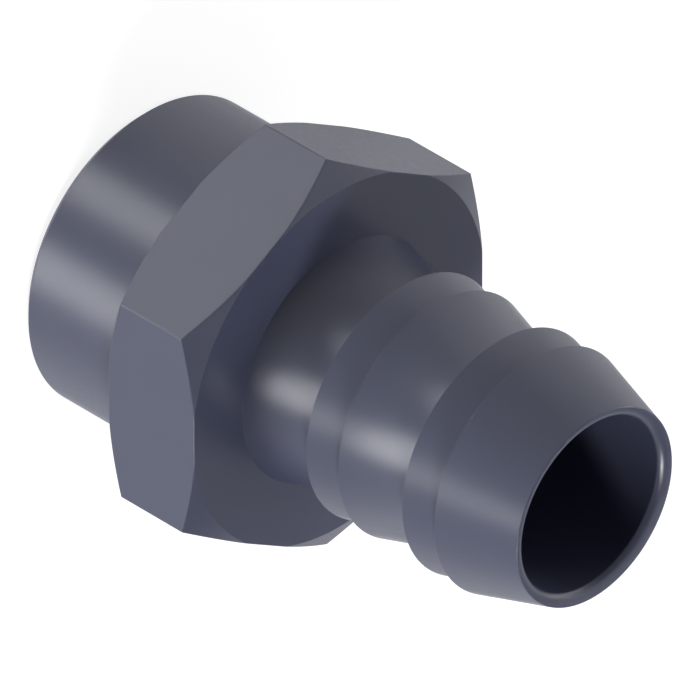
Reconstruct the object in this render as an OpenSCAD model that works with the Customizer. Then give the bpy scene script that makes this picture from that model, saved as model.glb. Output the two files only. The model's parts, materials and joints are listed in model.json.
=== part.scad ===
// Spigot to hose tail adapter, moulded in one piece of PVC.
// The spigot is cemented into a pipe socket, the hexagon takes a spanner,
// and a hose is pushed over the barbs and clamped.
// Origin: centre of the spigot's end face. +Z runs along the bore to the tail's mouth.

/* [Spigot] */
// Outside diameter of the spigot, which is that of the pipe
spigot_d = 25.1; // [23:0.1:28]
// Length of the spigot, from its end face to the hexagon
spigot_len = 11.5; // [6:0.5:40]
// Size of the 45 degree chamfer round the spigot's end
spigot_chamfer = 0.65; // [0.2:0.05:1.5]
// Thickness of the spigot's wall
spigot_wall = 3; // [2:0.1:4]

/* [Hexagon] */
// Width of the hexagon across its flats
hex_af = 30; // [29:0.5:42]
// Width of the hexagon along the fitting, from face to face
hex_w = 8.9; // [7:0.1:20]
// Angle of the chamfer turned on both faces of the hexagon
hex_chamfer_angle = 30; // [15:1:40]
// How far the circle inside each chamfer reaches past the flats
hex_chamfer_reach = 0.1; // [0.05:0.05:0.5]

/* [Hose tail] */
// Diameter over the crests of the barbs, which grip the bore of the hose
barb_d = 20; // [18:0.1:23]
// Diameter at the foot of a long barb, and of the tail's end
root_d = 16.1; // [15.8:0.1:17.5]
// Length of each long barb: one starts at the hexagon and one ends at the mouth
long_barb = 6.6; // [4:0.1:12]
// Length of each short barb, which stands between two long ones
short_barb = 3.3; // [1:0.1:4]
// Number of short barbs
short_barbs = 2; // [1:1:4]

/* [Bore] */
// Diameter of the bore through the hose tail
bore_d = 14.3; // [8:0.1:14.5]
// Radius of the rounding between that bore and the tail's end face
mouth_r = 0.8; // [0.2:0.05:1.5]
// How far the spigot's wider bore runs on into the hexagon
wide_bore_reach = 1; // [0:0.1:2]
// Angle between the bore and the cone that joins its two diameters
bore_cone_angle = 30; // [25:1:60]

/* [Hidden] */
$fn = 120;
pvc_colour = [0.37, 0.38, 0.43];
hex_sides = 6;
// How far a cutter runs past the face that it cuts
cut = 1;

spigot_r = spigot_d / 2;
wide_bore_r = spigot_r - spigot_wall;
bore_r = bore_d / 2;
barb_r = barb_d / 2;
root_r = root_d / 2;

// Heights of the hexagon's top face, and of the cone between the two bores
hex_top = spigot_len + hex_w;
bore_cone_start = spigot_len + wide_bore_reach;
bore_cone_end = bore_cone_start + (wide_bore_r - bore_r) / tan(bore_cone_angle);

// The hexagon's corners, and the circle that the chamfers leave on its faces
hex_corner_r = hex_af / 2 / cos(180 / hex_sides);
hex_face_r = hex_af / 2 + hex_chamfer_reach;
corner_drop = (hex_corner_r - hex_face_r) * tan(hex_chamfer_angle);

// Barbs from the hexagon up: long, short, long and so on, all at one slope
barb_count = 2 * short_barbs + 1;
barb_slope = (barb_r - root_r) / long_barb;
function barb_len(i) = i % 2 == 0 ? long_barb : short_barb;
function barb_z(i) = i == 0 ? hex_top : barb_z(i - 1) + barb_len(i - 1);
tail_top = barb_z(barb_count);

// The mouth's rounding never takes more than the wall that the tail's end has
mouth_round = min(mouth_r, root_r - bore_r);
mouth_z = tail_top - mouth_round;

// Wall of the spigot, cut through from the bore to the outside
module spigot_section() {
    polygon([
        [wide_bore_r, 0],
        [spigot_r - spigot_chamfer, 0],
        [spigot_r, spigot_chamfer],
        [spigot_r, spigot_len],
        [wide_bore_r, spigot_len],
    ]);
}

// Each barb rises square from the cone before it, then tapers towards the mouth
function barb_points(i) = [
    [barb_r, barb_z(i)],
    [barb_r - barb_slope * barb_len(i), barb_z(i + 1)],
];

// Wall of the hose tail, whose end is rounded off on the bore's side only
module tail_section() {
    polygon([
        [bore_r, hex_top],
        for (i = [0 : barb_count - 1]) each barb_points(i),
        [bore_r + mouth_round, tail_top],
        [bore_r + mouth_round, mouth_z],
        [bore_r, mouth_z],
    ]);
    intersection() {
        translate([bore_r, mouth_z])
            square(mouth_round);
        translate([bore_r + mouth_round, mouth_z])
            circle(r = mouth_round);
    }
}

// Disc with a cone on both faces, which turns the corners off the hexagon
module chamfered_disc() {
    rotate_extrude()
        polygon([
            [0, spigot_len],
            [hex_face_r, spigot_len],
            [hex_corner_r, spigot_len + corner_drop],
            [hex_corner_r, hex_top - corner_drop],
            [hex_face_r, hex_top],
            [0, hex_top],
        ]);
}

// The two bores inside the hexagon and the cone between them
module hexagon_bore() {
    rotate_extrude()
        polygon([
            [0, spigot_len - cut],
            [wide_bore_r, spigot_len - cut],
            [wide_bore_r, bore_cone_start],
            [bore_r, bore_cone_end],
            [bore_r, hex_top + cut],
            [0, hex_top + cut],
        ]);
}

// Hexagon with two corners on the Y axis and two flats square to the X axis
module hexagon() {
    difference() {
        intersection() {
            translate([0, 0, spigot_len])
                rotate([0, 0, 90])
                    cylinder(r = hex_corner_r, h = hex_w, $fn = hex_sides);
            chamfered_disc();
        }
        hexagon_bore();
    }
}

module adapter_body() {
    color(pvc_colour) {
        rotate_extrude()
            spigot_section();
        hexagon();
        rotate_extrude()
            tail_section();
    }
}

adapter_body();
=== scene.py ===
import json
import math

import bmesh
import bpy
from mathutils import Matrix, Vector


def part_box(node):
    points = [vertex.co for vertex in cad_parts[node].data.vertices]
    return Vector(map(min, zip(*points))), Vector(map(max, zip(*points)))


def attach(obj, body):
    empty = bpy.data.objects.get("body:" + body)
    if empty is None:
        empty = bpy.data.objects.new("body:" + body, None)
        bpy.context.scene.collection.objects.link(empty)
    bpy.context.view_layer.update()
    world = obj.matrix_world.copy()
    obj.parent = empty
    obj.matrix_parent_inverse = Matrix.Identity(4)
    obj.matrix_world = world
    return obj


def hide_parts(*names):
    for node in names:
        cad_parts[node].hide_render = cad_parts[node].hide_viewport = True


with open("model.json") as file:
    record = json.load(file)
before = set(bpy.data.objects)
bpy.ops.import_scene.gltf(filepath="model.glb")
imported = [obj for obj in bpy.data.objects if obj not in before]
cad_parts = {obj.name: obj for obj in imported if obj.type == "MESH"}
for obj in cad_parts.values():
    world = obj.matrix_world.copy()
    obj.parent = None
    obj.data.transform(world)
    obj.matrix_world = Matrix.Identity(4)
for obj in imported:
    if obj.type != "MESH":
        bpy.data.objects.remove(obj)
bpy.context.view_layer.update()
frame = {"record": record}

MM = 0.001
UP = Vector((0, 0, 1))
OUTWARD = Vector((1, 0))
WHITE = (1, 1, 1, 1)
QUARTER_TURN = math.pi / 2

# Sizes that the frame gives: the part's box, and the mounts' radii and lengths
MOUNTS = {mount["name"]: mount["dims"] for mount in frame["record"]["mounts"]}
NODE_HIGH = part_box("adapter_body")[1]
HEX_FLAT_R = NODE_HIGH.x
TAIL_TOP = NODE_HIGH.z
SPIGOT_R = MOUNTS["spigot"]["r_mm"] * MM
BARB_R = MOUNTS["hose_tail"]["r_mm"] * MM
HEX_TOP = TAIL_TOP - MOUNTS["hose_tail"]["length_mm"] * MM
BORE_R = MOUNTS["tail_bore"]["r_mm"] * MM
WIDE_BORE_R = MOUNTS["spigot_bore"]["r_mm"] * MM
WIDE_BORE_TOP = MOUNTS["spigot_bore"]["length_mm"] * MM

# Sizes that only the part's source holds otherwise
SPIGOT_CHAMFER = 0.65 * MM
HEX_BOTTOM = MOUNTS["spigot"]["length_mm"] * MM + SPIGOT_CHAMFER
HEX_CHAMFER = math.radians(30)
HEX_CHAMFER_REACH = 0.1 * MM
FLATS = 6
FLAT_TURN = math.radians(360 / FLATS)
LONG_BARB = 6.6 * MM
SHORT_BARB = 3.3 * MM
ROOT_R = 8.05 * MM
MOUTH_ROUND = 0.8 * MM
BORE_CONE = math.radians(30)

# Roundings of the edges that the mould leaves
EDGE = 0.1 * MM
CREST = 0.03 * MM
INNER_CORNER = 0.01 * MM
HEX_CORNER = 0.15 * MM

# How far the shading of the mouth's rounding leans towards the tail's end where the rounding starts
MOUTH_LEAN = math.radians(20)

# How finely the mesh is divided, and how close two points are to count as one
COLUMNS_PER_FLAT = 32
CORNER_STEPS = 5
UPPER_RIM_STEPS = 2
LOWER_RIM_STEPS = 4
ROUND_STEP = math.radians(15)
LEAST_ROUND_STEPS = 2
SAME_PLACE = 1e-7


def angles(start, end, steps):
    """The angles from start to end in equal steps, both ends included."""
    return [start + (end - start) * i / steps for i in range(steps + 1)]


def corner_round(before, corner, after, size):
    """Points of the rounding at one corner of a section, each with its outward normal, as (r, z)."""
    come = (corner - before).normalized()
    leave = (after - corner).normalized()
    turn = math.atan2(come.x * leave.y - come.y * leave.x, come.dot(leave))
    start = corner - come * size * math.tan(abs(turn) / 2)
    first_normal = Vector((come.y, -come.x))
    side = math.copysign(1, turn)
    centre = start - first_normal * size * side
    points = []
    for angle in angles(0, turn, max(LEAST_ROUND_STEPS, math.ceil(abs(turn) / ROUND_STEP))):
        normal = Matrix.Rotation(angle, 2) @ first_normal
        points.append((centre + normal * size * side, normal))
    return points


def section(corners, first, last):
    """Roundings of the corners (r, z, size) of a section that runs from first to last."""
    places = [first] + [Vector(corner[:2]) for corner in corners] + [last]
    rounds = []
    for before, place, after, corner in zip(places, places[1:], places[2:], corners):
        rounds.append(corner_round(before, place, after, corner[2]))
    return rounds


def tail_corners():
    """Corners of the tail from the hexagon up: each barb tapers, and the next rises square from it."""
    slope = (BARB_R - ROOT_R) / LONG_BARB
    lengths = [LONG_BARB, SHORT_BARB, LONG_BARB, SHORT_BARB, LONG_BARB]
    z = HEX_TOP
    corners = [(BARB_R, z, INNER_CORNER)]
    for length in lengths[:-1]:
        z += length
        corners += [(BARB_R - slope * length, z, INNER_CORNER), (BARB_R, z, CREST)]
    return corners + [(ROOT_R, TAIL_TOP, EDGE)]


def inside_corners():
    """Corners of the mouth, the bore, the spigot's end and its outside, down to the hexagon."""
    cone_top = WIDE_BORE_TOP + (WIDE_BORE_R - BORE_R) / math.tan(BORE_CONE)
    return [
        (BORE_R, TAIL_TOP, MOUTH_ROUND),
        (BORE_R, cone_top, EDGE),
        (WIDE_BORE_R, WIDE_BORE_TOP, EDGE),
        (WIDE_BORE_R, 0, EDGE),
        (SPIGOT_R - SPIGOT_CHAMFER, 0, EDGE),
        (SPIGOT_R, SPIGOT_CHAMFER, EDGE),
        (SPIGOT_R, HEX_BOTTOM, INNER_CORNER),
    ]


def turned_points():
    """The section without the hexagon's outside, from its upper face round to its lower one."""
    tail = tail_corners()
    corners = tail + inside_corners()
    rounds = section(corners, Vector((HEX_FLAT_R, HEX_TOP)), Vector((HEX_FLAT_R, HEX_BOTTOM)))

    # The photograph shades the first two long barbs as if they turned square at their upper end
    feet = [i for i, corner in enumerate(tail) if corner[0] < BARB_R]
    for foot in (feet[0], feet[2]):
        place, normal = rounds[foot][0]
        rounds[foot][0] = (place, OUTWARD)

    # It also has the mouth's highlight nearer to the bore, so the shading leans early there
    mouth = rounds[len(tail)]
    for i, (place, normal) in enumerate(mouth[:-1]):
        rise = math.asin(min(1, normal.y))
        rise = MOUTH_LEAN + rise * (1 - MOUTH_LEAN / QUARTER_TURN)
        mouth[i] = (place, Vector((-math.cos(rise), math.sin(rise))))
    return [point for points in rounds for point in points]


def hexagon_outline():
    """Points of the hexagon's rounded outline in order, each with its outward normal."""
    outline = []
    half_side = (HEX_FLAT_R - HEX_CORNER) * math.tan(FLAT_TURN / 2)
    half_angle = math.atan(half_side / HEX_FLAT_R)
    corner_centre = Vector((HEX_FLAT_R - HEX_CORNER, half_side))
    for flat in range(FLATS):
        turn = Matrix.Rotation(flat * FLAT_TURN, 2)
        for angle in angles(-half_angle, half_angle, COLUMNS_PER_FLAT):
            place = Vector((HEX_FLAT_R, HEX_FLAT_R * math.tan(angle)))
            outline.append((turn @ place, turn @ OUTWARD))
        for angle in angles(0, FLAT_TURN, CORNER_STEPS)[1:-1]:
            normal = Matrix.Rotation(angle, 2) @ OUTWARD
            outline.append((turn @ (corner_centre + normal * HEX_CORNER), turn @ normal))
    return outline


def rim_points(reach, flat_normal, radial):
    """Rounded rim of the hexagon's upper face where the outline is at distance reach from the axis.

    Each point is (height above the middle, distance from the axis, normal)."""
    half = (HEX_TOP - HEX_BOTTOM) / 2
    top = half - EDGE
    cone_normal = QUARTER_TURN - HEX_CHAMFER
    face_r = HEX_FLAT_R + HEX_CHAMFER_REACH
    offset = face_r * math.cos(cone_normal) + half * math.sin(cone_normal) - EDGE
    inner = Vector(((offset - top * math.sin(cone_normal)) / math.cos(cone_normal), top))
    outer_r = reach - EDGE
    outer = Vector((outer_r, (offset - outer_r * math.cos(cone_normal)) / math.sin(cone_normal)))
    chamfered = outer.y < inner.y
    if not chamfered:
        inner = outer = Vector((outer_r, top))
    points = []
    upper = angles(QUARTER_TURN, cone_normal, UPPER_RIM_STEPS)
    lower = angles(cone_normal, 0, LOWER_RIM_STEPS)
    for centre, rises in ((inner, upper), (outer, lower)):
        for rise in rises:
            share = min(1, rise / cone_normal) if chamfered else 0
            level = flat_normal.lerp(radial, share).normalized()
            place = centre + Vector((math.cos(rise), math.sin(rise))) * EDGE
            points.append((place.y, place.x, level * math.cos(rise) + UP * math.sin(rise)))
    return points


def hexagon_points(place, flat_normal):
    """One column of the hexagon's outside, from its lower face to its upper one."""
    middle = (HEX_TOP + HEX_BOTTOM) / 2
    radial = place.normalized().to_3d()
    rim = rim_points(place.length, flat_normal.to_3d(), radial)
    lower = [(radial * r + UP * (middle - h), n.reflect(UP)) for h, r, n in rim]
    upper = [(radial * r + UP * (middle + h), n) for h, r, n in reversed(rim)]
    return lower + upper


def add_object(name, data):
    """A new object with the given data, in the scene."""
    thing = bpy.data.objects.new(name, data)
    bpy.context.collection.objects.link(thing)
    return thing


def moulding():
    """The fitting as one closed mesh: a ring of columns, each a closed section of the wall."""
    mesher = bmesh.new()
    turned = turned_points()
    normals = []
    columns = []
    for place, flat_normal in hexagon_outline():
        radial = place.normalized().to_3d()
        points = []
        for p, n in turned:
            points.append((radial * p.x + UP * p.y, radial * n.x + UP * n.y))
        column = []
        for position, normal in points + hexagon_points(place, flat_normal):
            if column and (column[-1].co - position).length < SAME_PLACE:
                column.append(column[-1])
                continue
            column.append(mesher.verts.new(position))
            normals.append(normal)
        columns.append(column)

    # A corner that is there twice, where points fall together, is named once in its face
    for here, there in zip(columns, columns[1:] + columns[:1]):
        for i, low in enumerate(here):
            j = (i + 1) % len(here)
            corners = list(dict.fromkeys([low, there[i], there[j], here[j]]))
            if len(corners) > 2:
                mesher.faces.new(corners)
    mesh = bpy.data.meshes.new("adapter_moulding")
    mesher.to_mesh(mesh)
    mesher.free()
    mesh.shade_smooth()
    mesh.normals_split_custom_set_from_vertices([n.normalized() for n in normals])
    return add_object("adapter_moulding", mesh)


# Materials

PVC = (0.066, 0.073, 0.120)
PVC_MOTTLE = 0.03
PVC_ROUGHNESS = 0.3
PVC_ROUGHNESS_MOTTLE = 0.02
PVC_IOR = 1.4

# Gloss seen square on and at a grazing angle, and between which facing values one becomes the other
PVC_GLOSS = 0.6
PVC_GRAZING_GLOSS = 0.08
GRAZING_START = 0.5
GRAZING_END = 0.85

# Mottling and the moulded surface's grain
NOISE_LOW = 0.25
NOISE_HIGH = 0.75
MOTTLE_SIZE = 6 * MM
MOTTLE_DETAIL = 2
GRAIN_SIZE = 0.4 * MM
GRAIN_DETAIL = 1
GRAIN_HEIGHT = 0.001 * MM
GRAIN_STRENGTH = 0.3

FLOOR_COLOUR = (0.35, 0.35, 0.35, 1)
FLOOR_ROUGHNESS = 0.8
FLOOR_GLOW = 0.85


def new_material(name):
    """An empty node material and its node tree."""
    material = bpy.data.materials.new(name)
    material.use_nodes = True
    material.node_tree.nodes.clear()
    return material, material.node_tree


def set_surface(tree, shader):
    """Makes the shader the material's surface."""
    output = tree.nodes.new("ShaderNodeOutputMaterial")
    tree.links.new(shader.outputs[0], output.inputs["Surface"])


def noise(tree, place, size, detail):
    """Noise in three dimensions whose patches are about the given size across."""
    texture = tree.nodes.new("ShaderNodeTexNoise")
    texture.inputs["Scale"].default_value = 1 / size
    texture.inputs["Detail"].default_value = detail
    tree.links.new(place, texture.inputs["Vector"])
    return texture.outputs[0]


def ranged(tree, value, start, end, low, high):
    """A value that runs smoothly from low to high while the given one runs from start to end."""
    ramp = tree.nodes.new("ShaderNodeMapRange")
    ramp.interpolation_type = "SMOOTHSTEP"
    ramp.inputs["From Min"].default_value = start
    ramp.inputs["From Max"].default_value = end
    ramp.inputs["To Min"].default_value = low
    ramp.inputs["To Max"].default_value = high
    tree.links.new(value, ramp.inputs["Value"])
    return ramp.outputs[0]


def spread(tree, value, low, high):
    """Noise, which stays mostly within NOISE_LOW and NOISE_HIGH, spread between low and high."""
    return ranged(tree, value, NOISE_LOW, NOISE_HIGH, low, high)


def pvc_material():
    """Dark blue-grey PVC: faint mottling in colour and sheen, and a mould's fine grain."""
    material, tree = new_material("moulded_pvc")
    place = tree.nodes.new("ShaderNodeTexCoord").outputs["Object"]
    mottle = noise(tree, place, MOTTLE_SIZE, MOTTLE_DETAIL)
    grain = noise(tree, place, GRAIN_SIZE, GRAIN_DETAIL)
    shader = tree.nodes.new("ShaderNodeBsdfPrincipled")
    shader.inputs["IOR"].default_value = PVC_IOR
    facing = tree.nodes.new("ShaderNodeLayerWeight").outputs["Facing"]
    gloss = ranged(tree, facing, GRAZING_START, GRAZING_END, PVC_GLOSS, PVC_GRAZING_GLOSS)
    tree.links.new(gloss, shader.inputs["Specular IOR Level"])

    colour = tree.nodes.new("ShaderNodeVectorMath")
    colour.operation = "SCALE"
    colour.inputs[0].default_value = PVC
    tree.links.new(spread(tree, mottle, 1 - PVC_MOTTLE, 1 + PVC_MOTTLE), colour.inputs["Scale"])
    tree.links.new(colour.outputs[0], shader.inputs["Base Color"])

    smooth = PVC_ROUGHNESS - PVC_ROUGHNESS_MOTTLE
    rough = PVC_ROUGHNESS + PVC_ROUGHNESS_MOTTLE
    tree.links.new(spread(tree, grain, smooth, rough), shader.inputs["Roughness"])

    bump = tree.nodes.new("ShaderNodeBump")
    bump.inputs["Strength"].default_value = GRAIN_STRENGTH
    bump.inputs["Distance"].default_value = GRAIN_HEIGHT
    tree.links.new(grain, bump.inputs["Height"])
    tree.links.new(bump.outputs[0], shader.inputs["Normal"])
    set_surface(tree, shader)
    return material


def seen_in_view(tree):
    """One for rays that show the background: straight from the camera, mirrored or through glass."""
    rays = tree.nodes.new("ShaderNodeLightPath").outputs
    seen = rays["Is Camera Ray"]
    for other in ("Is Glossy Ray", "Is Transmission Ray"):
        either = tree.nodes.new("ShaderNodeMath")
        either.operation = "MAXIMUM"
        tree.links.new(seen, either.inputs[0])
        tree.links.new(rays[other], either.inputs[1])
        seen = either.outputs[0]
    return seen


def floor_material():
    """A pale table that looks white, with the soft shadow still on it, and is clear from below."""
    material, tree = new_material("table")
    surface = tree.nodes.new("ShaderNodeBsdfPrincipled")
    surface.inputs["Base Color"].default_value = FLOOR_COLOUR
    surface.inputs["Roughness"].default_value = FLOOR_ROUGHNESS
    surface.inputs["Specular IOR Level"].default_value = 0
    surface.inputs["Emission Color"].default_value = WHITE
    glow = tree.nodes.new("ShaderNodeMath")
    glow.operation = "MULTIPLY"
    glow.inputs[1].default_value = FLOOR_GLOW
    tree.links.new(seen_in_view(tree), glow.inputs[0])
    tree.links.new(glow.outputs[0], surface.inputs["Emission Strength"])

    clear = tree.nodes.new("ShaderNodeBsdfTransparent")
    side = tree.nodes.new("ShaderNodeMixShader")
    tree.links.new(tree.nodes.new("ShaderNodeNewGeometry").outputs["Backfacing"], side.inputs[0])
    tree.links.new(surface.outputs[0], side.inputs[1])
    tree.links.new(clear.outputs[0], side.inputs[2])
    set_surface(tree, side)
    return material


# Camera: the photograph's isometric view, in which the fitting lies on its side

VIEW_BACK = Vector((-1, 1, 1)).normalized()
VIEW_UP = Vector((1, 2, -1)).normalized()
VIEW_AIM = Vector((1.0, 0.45, 20.55)) * MM
VIEW_WIDTH = 51.38 * MM
LENS = 1600
SENSOR = 36
CAMERA_REACH = 100


def add_camera():
    """A very long lens, which sees nearly the photograph's parallel view."""
    data = bpy.data.cameras.new("camera")
    data.lens = LENS
    data.sensor_width = SENSOR
    data.clip_end = CAMERA_REACH
    camera = add_object("camera", data)
    right = VIEW_UP.cross(VIEW_BACK)
    turn = Matrix((right, VIEW_UP, VIEW_BACK)).transposed().to_4x4()
    distance = VIEW_WIDTH * LENS / SENSOR
    camera.matrix_world = Matrix.Translation(VIEW_AIM + VIEW_BACK * distance) @ turn
    bpy.context.scene.camera = camera


# Stage: a light table, soft lamps, and a room whose white walls fade into a dim ceiling

TABLE_SIZE = 6
ROOM_LIGHT = 0.05
WALL_TOP = math.radians(12)
CEILING_START = math.radians(30)
CEILING = 0.15

# Name of each lamp, the direction towards it, its strength, and its width in degrees
LAMPS = [
    ("right", (0.91, 0.31, 0.30), 0.90, 47),
    ("left", (-0.89, -0.02, -0.45), 1.50, 30),
    ("left_level", (-0.97, -0.05, -0.23), 0.47, 23),
    ("front", (-0.52, -0.55, 0.65), 1.80, 15),
    ("below", (-0.36, 0.65, -0.67), 0.89, 24),
    ("above", (0.36, -0.07, 0.93), 1.04, 70),
    ("back_low", (0.54, 0.71, -0.46), 0.16, 48),
]


def add_table():
    """The floor. Lamps below the table shine through it, as on a light table."""
    half = TABLE_SIZE / 2
    corners = [(-half, -half, 0), (half, -half, 0), (half, half, 0), (-half, half, 0)]
    mesh = bpy.data.meshes.new("table")
    mesh.from_pydata(corners, [], [(0, 1, 2, 3)])
    mesh.materials.append(floor_material())
    table = add_object("table", mesh)
    table.visible_shadow = False


def add_world():
    """The room where the background is seen, and otherwise a faint light from all round."""
    world = bpy.data.worlds.new("room")
    world.use_nodes = True
    bpy.context.scene.world = world
    tree = world.node_tree
    direction = tree.nodes.new("ShaderNodeSeparateXYZ")
    tree.links.new(tree.nodes.new("ShaderNodeTexCoord").outputs["Generated"], direction.inputs[0])
    rise = direction.outputs["Z"]
    walls = ranged(tree, rise, math.sin(WALL_TOP), math.sin(CEILING_START), 1, CEILING)

    strength = tree.nodes.new("ShaderNodeMix")
    strength.inputs["A"].default_value = ROOM_LIGHT
    tree.links.new(seen_in_view(tree), strength.inputs["Factor"])
    tree.links.new(walls, strength.inputs["B"])
    background = tree.nodes["Background"]
    background.inputs["Color"].default_value = WHITE
    tree.links.new(strength.outputs[0], background.inputs["Strength"])


def add_lamp(name, towards, strength, width):
    """A distant soft lamp, which lights every side that faces it evenly."""
    data = bpy.data.lights.new(name, "SUN")
    data.energy = strength
    data.angle = math.radians(width)
    # Of the rays from the part, only shadow rays pass the table to the lamps below it
    data.cycles.use_multiple_importance_sampling = False
    lamp = add_object(name, data)
    lamp.rotation_mode = "QUATERNION"
    lamp.rotation_quaternion = Vector(towards).to_track_quat("Z", "Y")


body = moulding()
body.data.materials.append(pvc_material())
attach(body, "root")
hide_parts("adapter_body")
add_table()
add_world()
for lamp in LAMPS:
    add_lamp(*lamp)
add_camera()
bpy.context.scene.view_settings.view_transform = "Standard"
